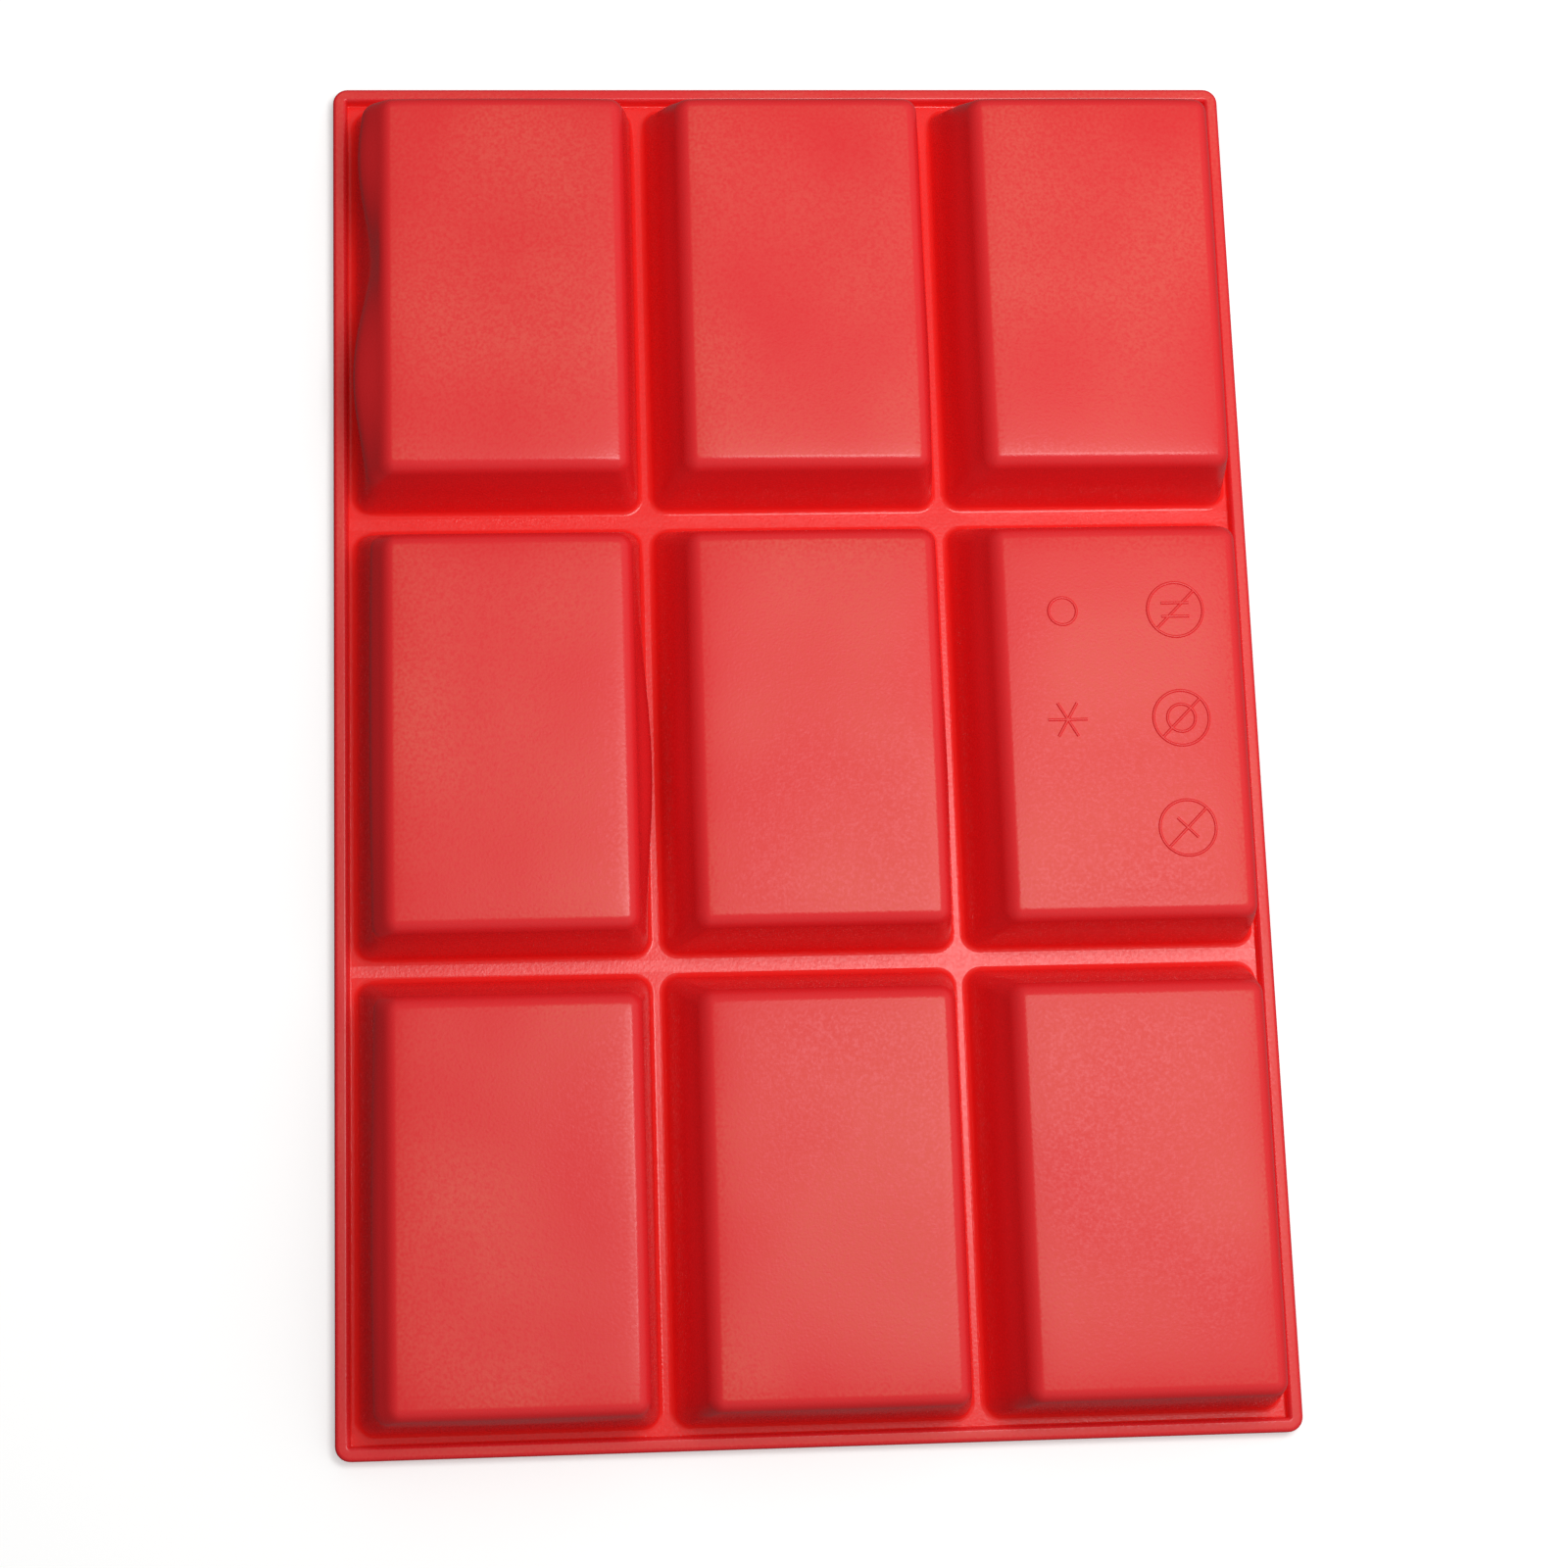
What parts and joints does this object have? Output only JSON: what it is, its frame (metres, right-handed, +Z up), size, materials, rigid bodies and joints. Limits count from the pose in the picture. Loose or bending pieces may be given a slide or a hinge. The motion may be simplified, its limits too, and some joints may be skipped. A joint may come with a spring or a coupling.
{
  "type": "soap bar mould",
  "caption": "Flexible silicone mould with a grid of loaf-shaped cups for casting soap bars, in a flat sheet with a raised rim that bends between its rows.",
  "frame": {"origin": "middle of the pour face, which the mould lies on with its cup floors up", "axes": "+X across the mould towards its right column, +Y along it from the front row to the rear row, +Z up out of the cup floors"},
  "size_m": [0.1984, 0.2976, 0.0233],
  "materials": {
    "silicone": "smooth moulded red silicone with a soft satin sheen"
  },
  "bodies": {
    "middle_row": {"sheet_middle": "silicone", "rim_middle": "silicone", "cup_middle_left": "silicone", "cup_middle_centre": "silicone", "cup_middle_right": "silicone", "care_marks": "silicone", "hinge_strip_front": "silicone", "hinge_strip_rear": "silicone"},
    "front_row": {"sheet_front": "silicone", "rim_front": "silicone", "cup_front_left": "silicone", "cup_front_centre": "silicone", "cup_front_right": "silicone"},
    "rear_row": {"sheet_rear": "silicone", "rim_rear": "silicone", "cup_rear_left": "silicone", "cup_rear_centre": "silicone", "cup_rear_right": "silicone"}
  },
  "joints": [
    {"name": "front_row_bend", "type": "hinge", "parent": "middle_row", "child": "front_row", "pos_m": [0, -0.0487, 0.0008], "axis": [-1, 0, 0], "range_deg": [0, 32], "stiffness_Nm_per_rad": 0.06, "deforming": ["hinge_strip_front"]},
    {"name": "rear_row_bend", "type": "hinge", "parent": "middle_row", "child": "rear_row", "pos_m": [0, 0.0487, 0.0008], "axis": [1, 0, 0], "range_deg": [0, 32], "stiffness_Nm_per_rad": 0.06, "deforming": ["hinge_strip_rear"]}
  ]
}
